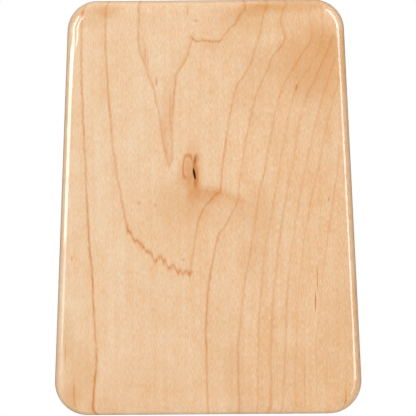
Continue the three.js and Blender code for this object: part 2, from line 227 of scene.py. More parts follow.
# The knot's soft ovals: (along, across, half length, half width, darkness)
KNOT_SPOTS = {
    "halo": (15.5, -5.8, 19, 5.4, 0.36),
    "fill": (15.5, -9.6, 8, 4.6, 0.3),
    "tail": (8, -6, 9, 4.2, 0.2),
    "sheath": (14.3, -4.75, 7, 1.6, 0.68),
    "stem": (18.5, -8.4, 6, 0.85, 0.7),
    "blob": (21.5, -8, 3, 1.6, 0.5),
    "foot": (11, -5.2, 4, 1, 0.4),
    # the crack's mark, painted near-black as the shade inside the slit
    "crack": (14.85, -3.1, 3.2, 0.68, 4),
}
KNOT_LOOP = (18, -8.4, 5, 2.1, 0.68)  # the oval that its line follows
LOOP_LINE = 0.3  # half width of its line, as a share of its reach
LOOP_OPENING = (0.1, 1.1)  # where it begins to open towards the lower right, and where it is faintest
LOOP_REST = 0.1  # of its darkness, where it is faintest
STEM_LEAN = -0.15  # sideways for each millimetre along the board
CRACK_LEAN = 0.16
CRACK_EDGE = 0.9  # the oval's darkness at which the crack begins
CRACK_DEPTHS = (4, 12)  # where it begins to close and where it has closed

# Soft tails of the rings: width in millimetres, and share of the line's darkness
RING_TAIL = (3.5, 0.16)
TONGUE_TAIL = (1.6, 0.55)
TONGUE_TOP_TAIL = (3, 0.2)
ARCH_FOOT_TAIL = (2.2, 0.5)
KNOT_LEE_TAIL = (8, 1)
TAIL_START = (-0.2, 0.4)  # from the line's middle to where the tail begins and to where it is full
RING_OPEN_END = 85  # a ring that reaches this far from the middle runs on over the board's end
RING_END_FADES = (2, 6)  # past the last point of any other ring, where its line has gone

# How the drawing of the back goes on through the board, in millimetres
BOARD_THICKNESS = 20
GRAIN_LEAN = 1.1  # along the board for each millimetre of depth
GRAIN_SPREAD = 0.012  # share across the board for each millimetre of depth
# Painted shade: the rounded edges, more so on the right side, and the walls are mixed towards the brown
# colour, which darkens the rim
EDGE_PAINTED_SHADE = 0.05
EDGE_SHADE_DEPTHS = (0.1, 2.5)  # below the nearer face, where the painted shade begins and where it is full
WALL_PAINTED_SHADE = 0.36
WALL_SHADE_DEPTHS = (2.4, 5.5)

# Noises of the finishes: features to a millimetre across, along and through the board, detail and roughness
MAPLE_NOISES = {
    "teeth": ((0.5, 0.04, 0.3), 3, 0.7),
    "wander": ((0.1, 0.06, 0.1), 2, 0.5),
    "ragged": ((0.25, 0.4, 0.25), 3, 0.7),
    "patchy": ((0.5, 0.22, 0.3), 3, 0.6),
    "cloud": ((0.05, 0.025, 0.05), 3, 0.5),
    "stripes": ((0.45, 0.012, 0.3), 3, 0.6),
    "mottle": ((0.16, 0.13, 0.1), 2, 0.5),
    "flecks": ((2.9, 0.34, 1.8), 4, 0.7),
    "fibres": ((2.3, 0.5, 1.4), 4, 0.7),
}
BRIDGE_GRAIN = ((0.03, 0.7, 0.7), 4, 0.6)
BRIDGE_PORES = ((0.25, 5, 5), 2, 0.6)
BRUSHING = ((3.5, 0.04, 3.5), 2, 0.5)
SMUDGES = ((0.15, 0.08, 0.15), 3, 0.5)
DULLING = ((0.2, 0.3, 0.3), 4, 0.6)
POLISH = ((0.08, 6, 6), 2, 0.5)
FLOOR_SPECKLE = ((0.5, 0.5, 0.5), 3, 0.5)

# How far the noises swing the maple's lines, in millimetres, and its tones
LINE_TEETH = 0.8
FOOT_TEETH = 2.7
LINE_WANDER = 0.5
LINE_RAGGEDNESS = 0.35
LINE_STRENGTH = (0.85, 1.4)  # from the faintest to the strongest stretches of a line
TONE_SWINGS = {"cloud": 0.22, "stripes": 0.3, "mottle": 0.24}
FLECK_SWING = 0.6
SHEEN_SWING = 0.13

# The part of a noise's range that is carried to a range of its own
WIDE_SPAN = (0.2, 0.8)
MIDDLE_SPAN = (0.25, 0.75)
NARROW_SPAN = (0.3, 0.7)
PORE_SPAN = (0.3, 0.45)
DULL_SPAN = (0.4, 0.75)
DULL_ROUGH_SPAN = (0.3, 0.8)

# Tones of the maple from its left side to its right side
HALF_WIDTH = 62  # millimetres
ROSINESS = (0.22, 0.72)
LIVELINESS = (1, 1.4)  # of the fine grain

# Roughness from the smoothest spots to the roughest, bumps as (strength, height), and other looks
MAPLE_ROUGHNESS = (0.34, 0.5)
BRIDGE_ROUGHNESS = (0.36, 0.52)
STEEL_ROUGHNESS = (0.2, 0.3)
SMUDGE_ROUGHNESS = 0.16
NICKEL_ROUGHNESS = (0.12, 0.3)
MAPLE_BUMP = (0.05, 0.2 * MM)
BRIDGE_BUMP = (0.25, 0.2 * MM)
STEEL_BUMP = (0.04, 0.05 * MM)
NICKEL_BUMP = (0.05, 0.05 * MM)
LACQUER = {"Specular IOR Level": 0.1, "Coat Weight": 1, "Coat Roughness": 0.04, "Coat IOR": 1.5}
PORE_DARKNESS = 0.55
PORE_SHADE = 0.4  # of the dark wood's colour

# Curve nodes run over this range, and draw a darkness of 1 this high
CURVE_RANGE = (-120, 120)
DARKNESS_SCALE = 50

# Steps of rounds and bends
ROUND_SIDES = 32
CORNER_STEPS = 14
EDGE_STEPS = 12
BAR_STEPS = 10
BEND_STEPS = 10
FINE_STEPS = 8
FLARE_STEPS = 6
EASED_STEPS = 3
EASED_WOOD_STEPS = 2

# Small measures and shares of the shapes
SAME_PLACE = 0.01 * MM  # points closer than this become one
CUT_REACH = 0.001 * MM  # points closer than this to a cut lie on it
FLAT_MARGIN = 0.3 * MM  # a narrow rim that keeps the flat faces' shading flat
NEARLY_ALL = 0.999  # a round never takes up a whole edge
FLARE_ROUND = 0.4  # of the flare's length
SLOPE_REACH = 0.1  # of a strip's thickness, over which its slope is taken
HEAD_CROWN = [(1, 0), (0.93, 0.45), (0.72, 0.78), (0.4, 0.95), (0, 1)]  # of a screw head's radius and dome
CROSS_TAPER = 0.8

# Strip lights that only gloss shows, by the photograph's sides, in metres:
# (name, place, aim, size, share of that side's brightness)
STRIP_LIGHTS = {
    "left": [
        ("strip", (0.642, 0.135, -0.165), (0.065, 0.135, 0), (0.09, 0.367), 1),
        ("strip_start", (0.505, 0.171, -0.39), (0.058, 0.077, 0), (0.014, 0.28), 0.6),
        ("strip_middle", (0.635, 0.04, -0.185), (0.065, 0.04, 0), (0.1, 0.32), 1),
        ("strip_fade", (0.617, -0.06, -0.235), (0.065, -0.06, 0), (0.1, 0.2), 0.4),
        ("strip_end", (0.57, -0.14, -0.32), (0.065, -0.14, 0), (0.06, 0.3), 0.12),
        ("corner_outer", (0.472, 0.336, -0.316), (0.055, 0.085, 0), (0.2, 0.17), 1),
        ("corner_start", (0.556, 0.21, -0.263), (0.055, 0.085, 0), (0.16, 0.17), 1),
        ("corner_inner", (0.289, 0.204, -0.539), (0.055, 0.085, 0), (0.19, 0.135), 1),
    ],
    "right": [
        ("strip", (-0.595, 0.06, -0.28), (-0.065, 0.06, 0), (0.42, 0.21), 1),
        ("corner_upper", (-0.45, 0.37, -0.325), (-0.055, 0.085, 0), (0.4, 0.22), 1),
        ("corner_lower", (-0.5, -0.25, -0.355), (-0.06, -0.083, 0), (0.22, 0.14), 0.5),
    ],
}

# Soft lamps that are aimed at the middle, in metres: (name, place, size, brightness, whether gloss shows it)
SOFT_LAMPS = [
    ("camera_side", (0.1, 0, -1), (1.6, 1.6), 0.865, False),
    ("left_fill", (0.9, 0, -0.25), (1.6, 0.6), 0.6, False),
    ("right_fill", (-0.9, 0, -0.25), (1.6, 0.6), 0.6, False),
    ("narrow_end_fill", (0, 0.9, -0.35), (1.6, 0.8), 1.6, False),
    ("wide_end_fill", (0, -0.9, -0.35), (1.6, 0.5), 1.7, False),
    ("front_key", (-0.35, -0.45, 1.1), (0.9, 0.9), 2.6, True),
    ("back_rim", (0.45, 0.6, 0.9), (0.9, 0.3), 2, True),
]

# The floor and the dark cards, in metres
STAGE_SIDES = 64
FLOOR_RADIUS = 1.2
FLOOR_GAP = 0.2 * MM
FLOOR_FADE = (250, 900)  # millimetres from the middle, where it begins to fade and where it has gone
FLOOR_SHADE = 0.97  # of the floor's colour, in its darker specks
CARD_BRIGHTNESS = 0.1
GROUND_CARD = (8, -1.1)  # radius and height
UNDER_CARD = (-0.45 * MM, -2 * MM, 20 * MM)  # height, reach past the board, and extra radius of its corners
WALL_CARD = (1.5 * MM, 1 * MM)  # height of its foot, and reach past the board
WALL_CARD_RISE = 12.5 * MM


def paint(code):
    """Linear colour of a six-digit colour code."""
    shares = [int(code[place:place + 2], 16) / 255 for place in (0, 2, 4)]
    return tuple(Color(shares).from_srgb_to_scene_linear())


def length_property(label, description, millimetres):
    """A size in the settings, given in millimetres."""
    return FloatProperty(name=label, description=description, default=millimetres * MM, unit="LENGTH")


def colour_property(label, description, code):
    """A colour in the settings, given as a six-digit code."""
    return FloatVectorProperty(
        name=label, description=description, default=paint(code), size=3, min=0, max=1, subtype="COLOR"
    )


def number_property(label, description, number):
    """A plain number in the settings."""
    return FloatProperty(name=label, description=description, default=number)


class KALIMBA_PG_board(bpy.types.PropertyGroup):
    """Sizes and colours of the maple board."""

    narrow_width: length_property("Narrow width", "Across the sides, carried on to the narrow end", 122.4)
    wide_width: length_property("Wide width", "Across the sides, carried on to the wide end", 138.3)
    narrow_corner: length_property("Narrow corners", "Radius of the corners at the narrow end", 13.5)
    wide_corner: length_property("Wide corners", "Radius of the corners at the wide end", 15)
    edge_radius: length_property("Edge radius", "Radius of the rounded-over edges", 6)
    pale_wood: colour_property("Pale wood", "Colour of the early wood", "ebcdaa")
    rosy_wood: colour_property("Rosy wood", "Colour of the late wood, more to the right", "e7b788")
    # This brown is also the colour of the painted shade on the rounded edges and walls
    brown_tone_and_shade: colour_property("Brown tone and shade", "Colour of the brownest patches", "d69a5c")
    ring_wood: colour_property("Ring wood", "Colour of the dark growth lines", "d48a4a")
    stem_wood: colour_property("Stem wood", "Colour of the brown stem in the knot", "b8702f")
    # The crack's near-black colour is painted shade, which stands for the shade inside the slit
    crack_shade_colour: colour_property("Crack shade", "Colour of the crack in the knot", "35130a")


class KALIMBA_PG_bridge(bpy.types.PropertyGroup):
    """Sizes and colours of the bridge block."""

    clamp_span: length_property("Clamp span", "From the saddle rod to the rear ridge", 15)
    land: length_property("Land", "Half the width of the land that the rod lies in", 2.8)
    land_height: length_property("Land height", "Height of the land above the board", 5.5)
    valley_height: length_property("Valley height", "Height of the valley floor above the board", 3)
    edge_height: length_property("Edge height", "Height of the front and rear edges", 1.6)
    ridge_radius: length_property("Ridge radius", "Radius of the round rear ridge", 2)
    groove_radius: length_property("Groove radius", "Radius of the rod's groove", 1.65)
    cove_radius: length_property("Cove radius", "Radius of the hollows above the front and rear edges", 3)
    valley_cove: length_property("Valley cove", "Radius of the hollows in the valley", 0.8)
    corner_radius: length_property("Corner radius", "Radius of the corners seen from above", 4)
    edge: length_property("Eased edge", "Width of the eased edges", 0.25)
    dark_wood: colour_property("Dark wood", "Colour of the dark grain", "3a2013")
    light_wood: colour_property("Light wood", "Colour of the light grain", "6b4128")


class KALIMBA_PG_clamp(bpy.types.PropertyGroup):
    """Sizes and colours of the saddle rod, the pressure bar and the screws."""

    edge: length_property("Eased edge", "Width of the eased edges of rod and bar", 0.4)
    screw_diameter: length_property("Screw", "Diameter of a screw's shank", 2.4)
    screw_point: length_property("Screw point", "Length of a screw's point", 3)
    head_rim: length_property("Head rim", "Height of a screw head's upright rim", 0.7)
    cross_reach: length_property("Cross reach", "From a screw's middle to the end of its cross", 1.35)
    cross_width: length_property("Cross width", "Width of the arms of a screw's cross", 0.75)
    cross_depth: length_property("Cross depth", "Depth of a screw's cross", 1.1)
    nickel: colour_property("Nickel", "Colour of the plating", "d6d5d0")
    dulled: colour_property("Dulled nickel", "Colour of the plating where it has dulled", "b4b1aa")


class KALIMBA_PG_tines(bpy.types.PropertyGroup):
    """Sizes and colours of the tines."""

    thickness: length_property("Thickness", "Thickness of the strip", 1.2)
    shank_width: length_property("Shank width", "Width over the bridge", 3.2)
    tip_width: length_property("Tip width", "Width of the playing end", 4.4)
    tip_corner: length_property("Tip corners", "Radius of the playing end's corners", 1.7)
    tip_length: length_property("Tip length", "Length of the playing end at full width", 8)
    flare_length: length_property("Flare length", "Length over which the strip widens", 14)
    curl_length: length_property("Curl length", "Length over which the playing end curls up", 14)
    curl_radius: length_property("Curl radius", "Radius of the curl", 60)
    press_depth: length_property("Press depth", "How far the bar bows a strip", 0.3)
    rod_gap: length_property("Rod gap", "Between the rod and a strip", 0.15)
    edge: length_property("Eased edge", "Width of the eased edges", 0.25)
    steel: colour_property("Steel", "Colour of the brushed steel", "c8cacb")
    dark_steel: colour_property("Dark steel", "Colour of the brushed steel's scratches", "9b9da0")


class KALIMBA_PG_stage(bpy.types.PropertyGroup):
    """Camera, lamps and floor."""

    lens: number_property("Lens", "Focal length in millimetres", 120)
    sensor: number_property("Sensor", "Sensor width in millimetres", 36)
    ambient: number_property("Ambient light", "Strength of the even light", 0.35)
    left_gloss: number_property("Left strip", "Brightness of the left strip lights", 9.5)
    right_gloss: number_property("Right strip", "Brightness of the right strip lights", 8)
    floor_colour: colour_property("Floor", "Colour of the floor", "f2f1ef")


class KALIMBA_PG_settings(bpy.types.PropertyGroup):
    """Everything that can be changed about the kalimba."""

    board: PointerProperty(type=KALIMBA_PG_board)
    bridge: PointerProperty(type=KALIMBA_PG_bridge)
    clamp: PointerProperty(type=KALIMBA_PG_clamp)
    tines: PointerProperty(type=KALIMBA_PG_tines)
    stage: PointerProperty(type=KALIMBA_PG_stage)


class Wiring:
    """Adds nodes to a node tree and joins them up as they are made."""

    def __init__(self, tree):
        self.tree = tree

    def feed(self, socket, value):
        """Joins a socket to another one, or sets its value; None leaves it alone."""
        if isinstance(value, bpy.types.NodeSocket):
            self.tree.links.new(value, socket)
        elif value is not None:
            socket.default_value = (*value, 1) if socket.type == "RGBA" else value

    def add(self, kind, *inputs, **choices):
        node = self.tree.nodes.new(kind)
        for name, value in choices.items():
            setattr(node, name, value)
        for socket, value in zip(node.inputs, inputs):
            self.feed(socket, value)
        return node

    def math(self, operation, *inputs, clamp=False):
        return self.add("ShaderNodeMath", *inputs, operation=operation, use_clamp=clamp).outputs[0]

    def total(self, amounts, clamp=False):
        """Sum of two or more sockets, kept to 0..1 if asked."""
        result = amounts[0]
        for amount in amounts[1:-1]:
            result = self.math("ADD", result, amount)
        return self.math("ADD", result, amounts[-1], clamp=clamp)

    def ramp(self, value, start, end, low=0, high=1, kind="SMOOTHSTEP"):
        """Value carried from the range start..end to low..high."""
        node = self.add("ShaderNodeMapRange", value, start, end, low, high, interpolation_type=kind)
        return node.outputs[0]

    def swing(self, noise, reach, span=WIDE_SPAN):
        """Noise carried from a span of its range to -reach..reach."""
        return self.ramp(noise, *span, -reach, reach, "LINEAR")

    def mix(self, share, first, second):
        """A mix of two colours, by the node's sockets for colours."""
        node = self.add("ShaderNodeMix", share, data_type="RGBA", clamp_factor=False)
        self.feed(node.inputs[6], first)
        self.feed(node.inputs[7], second)
        return node.outputs[2]

    def shade(self, colour, share):
        """A colour made lighter or darker by a share."""
        node = self.add("ShaderNodeVectorMath", colour, operation="SCALE")
        self.feed(node.inputs["Scale"], share)
        return node.outputs[0]

    def noise(self, place, scale, detail, roughness):
        """Noise from 0 to 1; scale is how many features go to a millimetre, along X, Y and Z."""
        stretched = self.add("ShaderNodeMapping", place, None, None, scale).outputs[0]
        return self.add("ShaderNodeTexNoise", stretched, None, 1, detail, roughness).outputs[0]

    def millimetres(self):
        """The piece's own coordinates in millimetres."""
        place = self.add("ShaderNodeTexCoord").outputs["Object"]
        return self.add("ShaderNodeMapping", place, None, None, (1 / MM, 1 / MM, 1 / MM)).outputs[0]

    def curve(self, value, points):
        """A smooth curve through points, with its ends carried on level. Value runs over CURVE_RANGE."""
        low, high = CURVE_RANGE
        share = self.ramp(value, low, high, kind="LINEAR")
        node = self.add("ShaderNodeFloatCurve", 1, share)
        node.mapping.extend = "HORIZONTAL"
        dots = node.mapping.curves[0].points
        shares = sorted([(part - low) / (high - low) for part in point] for point in points)
        for dot, spot in zip(dots, (shares[0], shares[-1])):
            dot.location = spot
        for spot in shares[1:-1]:
            dots.new(*spot)
        for dot in dots:
            dot.handle_type = "AUTO_CLAMPED"
        node.mapping.update()
        return self.ramp(node.outputs[0], 0, 1, low, high, "LINEAR")


def new_material(name):
    """An empty node material, its wiring and its finish."""
    material = bpy.data.materials.new(name)
    material.use_nodes = True
    wiring = Wiring(material.node_tree)
    finish = material.node_tree.nodes["Principled BSDF"]
    return material, wiring, finish


def bare_material(name):
    """A node material without a finish, its wiring and its surface socket."""
    material, wiring, finish = new_material(name)
    wiring.tree.nodes.remove(finish)
    return material, wiring, wiring.tree.nodes["Material Output"].inputs["Surface"]


def set_relief(wiring, finish, bump, pattern, roughness):
    """Sets a finish's bump, from a pattern, and its roughness."""
    relief = wiring.add("ShaderNodeBump", *bump, None, pattern).outputs[0]
    wiring.feed(finish.inputs["Normal"], relief)
    wiring.feed(finish.inputs["Roughness"], roughness)


def ring_line(wiring, forward, sideways, ring, tail):
    """Darkness of one growth ring: a sharp line, with a soft tail on one side."""
    side, line_width, strength, points = ring
    tail_width, tail_share = tail
    path = wiring.curve(forward, [(place, level) for place, level, _ in points])
    levels = [(place, darkness * strength * DARKNESS_SCALE) for place, _, darkness in points]
    first, last = min(levels)[0], max(levels)[0]
    if first > -RING_OPEN_END:
        levels += [(first - fade, 0) for fade in RING_END_FADES]
    if last < RING_OPEN_END:
        levels += [(last + fade, 0) for fade in RING_END_FADES]
    darkness = wiring.math("DIVIDE", wiring.curve(forward, levels), DARKNESS_SCALE)
    offset = wiring.math("MULTIPLY", wiring.math("SUBTRACT", sideways, path), side)
    away = wiring.math("ABSOLUTE", offset)
    widths = wiring.math("DIVIDE", away, line_width)
    square = wiring.math("MULTIPLY", widths, widths)
    core = wiring.math("EXPONENT", wiring.math("MULTIPLY", square, -1))
    fade = wiring.math("EXPONENT", wiring.math("DIVIDE", away, -tail_width))
    behind = wiring.ramp(offset, *TAIL_START, 0, tail_share)
    profile = wiring.math("MULTIPLY_ADD", fade, behind, core)
    return wiring.math("MULTIPLY", profile, darkness)


def oval_parts(wiring, forward, sideways, oval):
    """Places along and across an oval, from -1 to 1 between its ends, and its amount."""
    along, across, half_length, half_width, amount = oval
    lengthways = wiring.math("DIVIDE", wiring.math("SUBTRACT", forward, along), half_length)
    widthways = wiring.math("DIVIDE", wiring.math("SUBTRACT", sideways, across), half_width)
    return lengthways, widthways, amount


def soft_spot(wiring, forward, sideways, spot):
    """A soft oval that is full in its middle and nothing at its rim."""
    lengthways, widthways, amount = oval_parts(wiring, forward, sideways, spot)
    square = wiring.math("MULTIPLY", widthways, widthways)
    reach = wiring.math("MULTIPLY_ADD", lengthways, lengthways, square)
    return wiring.ramp(reach, 0, 1, amount, 0)


def maple_finish(name, settings):
    """Lacquered flat-sawn maple, with its rings, streaks, knot and changes of tone."""
    material, wiring, finish = new_material(name)
    place = wiring.millimetres()
    x, y, depth = wiring.add("ShaderNodeSeparateXYZ", place).outputs
    along = wiring.math("MULTIPLY_ADD", depth, GRAIN_LEAN, y)
    spread = wiring.math("MULTIPLY_ADD", depth, GRAIN_SPREAD, 1)
    across = wiring.math("MULTIPLY", wiring.math("MULTIPLY", x, -1), spread)
    noises = {use: wiring.noise(place, *kind) for use, kind in MAPLE_NOISES.items()}
    wobbly_across = wiring.total([
        across,
        wiring.swing(noises["wander"], LINE_WANDER),
        wiring.swing(noises["ragged"], LINE_RAGGEDNESS),
    ])
    wood = maple_tone(wiring, noises, along, across, depth, settings)
    lines = maple_lines(wiring, noises, along, across, wobbly_across)
    ringed = wiring.mix(lines, wood, settings.ring_wood)
    colour = knot_colour(wiring, along, across, depth, wobbly_across, ringed, settings)
    wiring.feed(finish.inputs["Base Color"], colour)
    roughness = wiring.ramp(noises["flecks"], *WIDE_SPAN, *MAPLE_ROUGHNESS)
    set_relief(wiring, finish, MAPLE_BUMP, noises["flecks"], roughness)
    for socket, level in LACQUER.items():
        finish.inputs[socket].default_value = level
    return material


def maple_lines(wiring, noises, along, across, sideways):
    """Darkness of all growth rings and streaks together."""
    forward = wiring.math("ADD", along, wiring.swing(noises["teeth"], LINE_TEETH))
    toothed = wiring.math("ADD", along, wiring.swing(noises["teeth"], FOOT_TEETH))
    lines = []
    for name, ring in LONG_RINGS.items():
        tail = TONGUE_TAIL if name.startswith("tongue") else RING_TAIL
        lines.append(ring_line(wiring, forward, sideways, ring, tail))
    lines.append(ring_line(wiring, sideways, forward, TONGUE_TOP, TONGUE_TOP_TAIL))
    lines.append(ring_line(wiring, sideways, toothed, ARCH_FOOT, ARCH_FOOT_TAIL))
    lines.append(ring_line(wiring, sideways, forward, KNOT_LEE, KNOT_LEE_TAIL))
    lines += [soft_spot(wiring, along, across, streak) for streak in STREAKS]
    strength = wiring.ramp(noises["patchy"], *NARROW_SPAN, *LINE_STRENGTH)
    return wiring.math("MULTIPLY", wiring.total(lines), strength, clamp=True)


def maple_tone(wiring, noises, along, across, depth, settings):
    """Colour of the wood between the lines: rosier to the right, browner in patches, and darker on the
    rounded edges and walls by painted shade, stronger on the right side.
    """
    liveliness = wiring.ramp(across, -HALF_WIDTH, HALF_WIDTH, *LIVELINESS, "LINEAR")
    flecks = wiring.swing(noises["flecks"], FLECK_SWING, MIDDLE_SPAN)
    rosiness = wiring.total([
        wiring.ramp(across, -HALF_WIDTH, HALF_WIDTH, *ROSINESS, "LINEAR"),
        *(wiring.swing(noises[name], reach, MIDDLE_SPAN) for name, reach in TONE_SWINGS.items()),
        wiring.math("MULTIPLY", flecks, liveliness),
    ])
    from_middle = wiring.math("ABSOLUTE", wiring.math("SUBTRACT", depth, BOARD_THICKNESS / 2))
    below_face = wiring.math("SUBTRACT", BOARD_THICKNESS / 2, from_middle)
    # Painted shade on the rounded edges, stronger to the right, and on the walls, added to the real browner
    # patches
    edge_shade = wiring.ramp(across, -HALF_WIDTH, HALF_WIDTH, 0, EDGE_PAINTED_SHADE, "LINEAR")
    tone_and_painted_shade = wiring.total([
        wiring.ramp(below_face, *EDGE_SHADE_DEPTHS, 0, edge_shade),
        wiring.ramp(below_face, *WALL_SHADE_DEPTHS, 0, WALL_PAINTED_SHADE),
        *(soft_spot(wiring, along, across, patch) for patch in TONE_PATCHES),
    ])
    rosy = wiring.mix(rosiness, settings.pale_wood, settings.rosy_wood)
    browned_and_shaded = wiring.mix(tone_and_painted_shade, rosy, settings.brown_tone_and_shade)
    sheen = wiring.swing(noises["fibres"], SHEEN_SWING, MIDDLE_SPAN)
    return wiring.shade(browned_and_shaded, wiring.math("MULTIPLY_ADD", sheen, liveliness, 1))


def knot_loop(wiring, along, across):
    """A thin loop with square shoulders, open at its lower right."""
    lengthways, widthways, darkness = oval_parts(wiring, along, across, KNOT_LOOP)
    cubes = [wiring.math("POWER", wiring.math("ABSOLUTE", part), 3) for part in (lengthways, widthways)]
    reach = wiring.math("POWER", wiring.total(cubes), 1 / 3)
    from_line = wiring.math("ABSOLUTE", wiring.math("SUBTRACT", reach, 1))
    outline = wiring.ramp(from_line, 0, LOOP_LINE, darkness, 0)
    closed = wiring.ramp(wiring.math("SUBTRACT", widthways, lengthways), *LOOP_OPENING, 1, LOOP_REST)
    return wiring.math("MULTIPLY", outline, closed)


def knot_colour(wiring, along, across, depth, wobbly_across, wood, settings):
    """The small knot: a brown halo, a thin open loop, a leaning stem and a shallow crack, painted near-black
    as the shade inside its slit.
    """
    upright = wiring.math("MULTIPLY_ADD", along, STEM_LEAN, across)
    leaning = wiring.math("MULTIPLY_ADD", along, CRACK_LEAN, across)

    def spots(sideways, *names):
        return [soft_spot(wiring, along, sideways, KNOT_SPOTS[name]) for name in names]

    loop = knot_loop(wiring, along, wobbly_across)
    brown = wiring.total([*spots(across, "halo", "fill", "tail", "sheath"), loop], clamp=True)
    stalk = wiring.total([*spots(upright, "stem", "blob"), *spots(across, "foot")], clamp=True)
    crack = wiring.math("SUBTRACT", *spots(leaning, "crack"), CRACK_EDGE, clamp=True)
    shallow_crack = wiring.math("MULTIPLY", crack, wiring.ramp(depth, *CRACK_DEPTHS, 1, 0))
    browned_and_shaded = wiring.mix(brown, wood, settings.ring_wood)
    stemmed = wiring.mix(stalk, browned_and_shaded, settings.stem_wood)
    return wiring.mix(shallow_crack, stemmed, settings.crack_shade_colour)


def dark_wood_finish(name, settings):
    """Oiled dark hardwood with its grain across the kalimba."""
    material, wiring, finish = new_material(name)
    place = wiring.millimetres()
    grain = wiring.noise(place, *BRIDGE_GRAIN)
    pores = wiring.noise(place, *BRIDGE_PORES)
    wood = wiring.mix(wiring.ramp(grain, *NARROW_SPAN), settings.dark_wood, settings.light_wood)
    pore_colour = tuple(part * PORE_SHADE for part in settings.dark_wood)
    pored = wiring.mix(wiring.ramp(pores, *PORE_SPAN, PORE_DARKNESS, 0), wood, pore_colour)
    wiring.feed(finish.inputs["Base Color"], pored)
    roughness = wiring.ramp(grain, *WIDE_SPAN, *BRIDGE_ROUGHNESS)
    set_relief(wiring, finish, BRIDGE_BUMP, pores, roughness)
    return material


def steel_finish(name, settings):
    """Spring steel, brushed along each strip."""
    material, wiring, finish = new_material(name)
    place = wiring.millimetres()
    brushing = wiring.noise(place, *BRUSHING)
    smudges = wiring.noise(place, *SMUDGES)
    colour = wiring.mix(wiring.ramp(brushing, *NARROW_SPAN), settings.dark_steel, settings.steel)
    wiring.feed(finish.inputs["Base Color"], colour)
    brushed = wiring.ramp(brushing, *WIDE_SPAN, *STEEL_ROUGHNESS)
    roughness = wiring.math("MULTIPLY_ADD", smudges, SMUDGE_ROUGHNESS, brushed)
    set_relief(wiring, finish, STEEL_BUMP, brushing, roughness)
    finish.inputs["Metallic"].default_value = 1
    return material


def nickel_finish(name, settings):
    """Polished nickel plating, slightly dulled by handling."""
    material, wiring, finish = new_material(name)
    place = wiring.millimetres()
    dulling = wiring.noise(place, *DULLING)
    polish = wiring.noise(place, *POLISH)
    colour = wiring.mix(wiring.ramp(dulling, *DULL_SPAN), settings.nickel, settings.dulled)
    wiring.feed(finish.inputs["Base Color"], colour)
    roughness = wiring.ramp(dulling, *DULL_ROUGH_SPAN, *NICKEL_ROUGHNESS)
    set_relief(wiring, finish, NICKEL_BUMP, polish, roughness)
    finish.inputs["Metallic"].default_value = 1
    return material


FINISHES = {
    "maple": ("lacquered maple", maple_finish),
    "bridge_wood": ("oiled bridge wood", dark_wood_finish),
    "tine_steel": ("brushed spring steel", steel_finish),
    "plated_steel": ("nickel plating", nickel_finish),
}


def finish_of(slot, settings):
    """The finish of a slot, made on its first use."""
    name, make = FINISHES[slot]
    return bpy.data.materials.get(name) or make(name, settings)


def round_off(bm, geometry, width, segments, affect):
    """Bevels edges or corners to a round."""
    bmesh.ops.bevel(
        bm, geom=geometry, offset=width, offset_type="OFFSET", affect=affect,
        segments=segments, profile=0.5, material=-1, clamp_overlap=True,
    )


def ease_sharp_edges(bm, width, segments, angle=math.radians(50)):
    """Bevels every edge that turns by more than an angle."""
    bm.normal_update()
    sharp = [edge for edge in bm.edges if edge.is_manifold and edge.calc_face_angle() > angle]
    round_off(bm, sharp, width, segments, "EDGES")


def flat_face(bm, points):
    """Adds a face through a few points, and returns its corners in their order."""
    corners = [bm.verts.new(point) for point in points]
    bm.faces.new(corners)
    return corners


def shift(bm, parts, reach):
    """Moves the corners among some parts, and returns them."""
    corners = [part for part in parts if isinstance(part, bmesh.types.BMVert)]
    bmesh.ops.translate(bm, verts=corners, vec=reach)
    return corners


def extrude(bm, face, reach):
    """Extrudes a face into a solid."""
    shift(bm, bmesh.ops.extrude_face_region(bm, geom=[face])["geom"], reach)


def everything(bm):
    return bm.verts[:] + bm.edges[:] + bm.faces[:]


def cut(bm, parts, place, normal, clear_outer=False):
    """Cuts parts along a plane, clears what lies beyond it if asked, and returns what lies on the cut."""
    return bmesh.ops.bisect_plane(
        bm, geom=parts, dist=CUT_REACH, plane_co=place, plane_no=normal, clear_outer=clear_outer
    )["geom_cut"]


def add_mesh(bm, name, material):
    """Turns a bmesh into an object of the scene."""
    mesh = bpy.data.meshes.new(name)
    bm.to_mesh(mesh)
    bm.free()
    mesh.materials.append(material)
    piece = bpy.data.objects.new(name, mesh)
    bpy.context.scene.collection.objects.link(piece)
    return piece


def new_piece(bm, name, slot, settings, body, nodes, smooth_angle=40):
    """Turns a bmesh into a piece that rides on a body and stands for CAD nodes."""
    bmesh.ops.recalc_face_normals(bm, faces=bm.faces)
    for face in bm.faces:
        face.smooth = True
    piece = add_mesh(bm, name, finish_of(slot, settings))
    piece.data.set_sharp_from_angle(angle=math.radians(smooth_angle))
    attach(piece, body)
    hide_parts(*nodes)
    if not piece.data.polygons:
        raise RuntimeError(f"{name} has no faces")


def board_plan(bm, settings, height, margin, rounder=0):
    """The board's outline as one level face, a margin larger all round, with its corners made rounder."""
    low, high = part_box("body_board")
    taper = math.atan((settings.wide_width - settings.narrow_width) / 2 / (high.y - low.y))
    wide = settings.wide_width / 2 + margin
    narrow = settings.narrow_width / 2 + margin
    front = low.y - margin
    rear = high.y + margin
    outline = [(-wide, front), (wide, front), (narrow, rear), (-narrow, rear)]
    corners = flat_face(bm, [(x, y, height) for x, y in outline])
    wide_reach = (settings.wide_corner + margin + rounder) * math.tan(math.pi / 4 + taper / 2)
    narrow_reach = (settings.narrow_corner + margin + rounder) * math.tan(math.pi / 4 - taper / 2)
    round_off(bm, corners[:2], wide_reach, CORNER_STEPS, "VERTICES")
    round_off(bm, corners[2:], narrow_reach, CORNER_STEPS, "VERTICES")
    return bm.faces[:][0]


